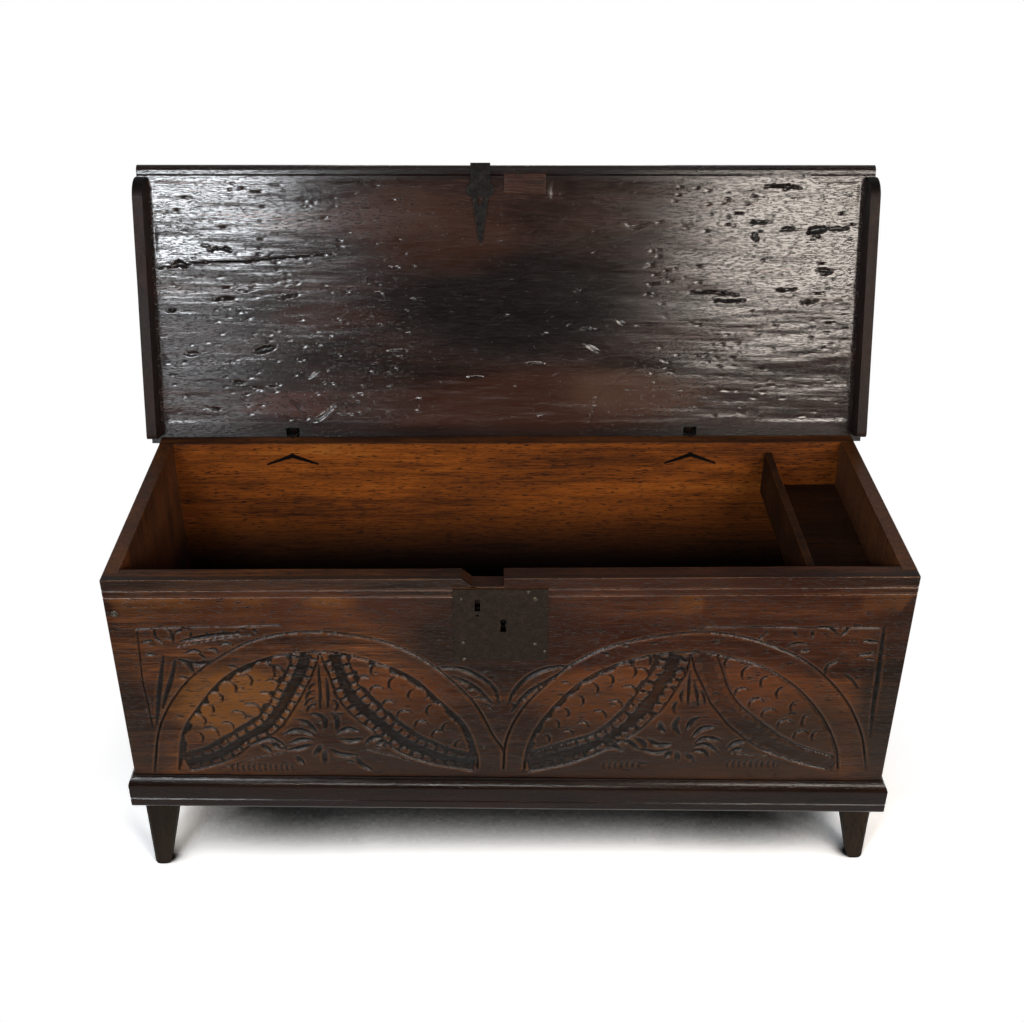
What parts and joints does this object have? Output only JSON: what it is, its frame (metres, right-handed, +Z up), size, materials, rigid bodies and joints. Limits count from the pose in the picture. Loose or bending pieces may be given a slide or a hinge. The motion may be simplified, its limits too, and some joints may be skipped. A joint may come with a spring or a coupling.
{
  "type": "coffer chest",
  "caption": "Boarded oak chest with a carved front, hinged lid with end cleats, moulded base, tapered feet, inner till and iron lock; shown with the lid open.",
  "frame": {"origin": "centre of the footprint on the floor, measured with the lid open", "axes": "+X to the right seen from the front, +Y to the back, +Z up"},
  "size_m": [1.185, 0.5932, 0.972],
  "materials": {
    "oak_outside": "waxed, dark red-brown",
    "oak_inside": "dry, orange-brown",
    "oak_lid": "waxed, very dark",
    "oak_patch": "waxed",
    "oak_blackened": "waxed, near black",
    "iron": "wrought, dark"
  },
  "bodies": {
    "case": {"front_board": "oak_outside", "left_end_board": "oak_inside", "right_end_board": "oak_inside", "back_board": "oak_inside", "bottom_board_front": "oak_inside", "bottom_board_middle": "oak_inside", "bottom_board_back": "oak_inside", "base_moulding_front": "oak_blackened", "base_moulding_left": "oak_blackened", "base_moulding_right": "oak_blackened", "front_left_foot": "oak_outside", "front_right_foot": "oak_outside", "back_left_foot": "oak_outside", "back_right_foot": "oak_outside", "front_left_block": "oak_inside", "front_right_block": "oak_inside", "back_left_block": "oak_inside", "back_right_block": "oak_inside", "till_front_board": "oak_inside", "till_floor_board": "oak_inside", "left_back_staple": "iron", "right_back_staple": "iron", "lock_plate": "iron", "bolt_guide_left": "iron", "bolt_guide_right": "iron", "lock_spring": "iron", "lock_cap": "iron"},
    "lid": {"lid_board": "oak_lid", "lid_patch": "oak_patch", "left_cleat": "oak_lid", "right_cleat": "oak_lid", "lid_strap": "iron", "left_lid_staple": "iron", "right_lid_staple": "iron"},
    "bolt": {"lock_bolt": "iron"}
  },
  "joints": [
    {"name": "lid_hinge", "type": "hinge", "parent": "case", "child": "lid", "pos_m": [0, 0.14138, 0.5523], "axis": [1, 0, 0], "range_deg": [0, 108.26]},
    {"name": "lock_bolt_slide", "type": "slide", "parent": "case", "child": "bolt", "axis": [-1, 0, 0], "range_m": [0, 0.02]}
  ]
}
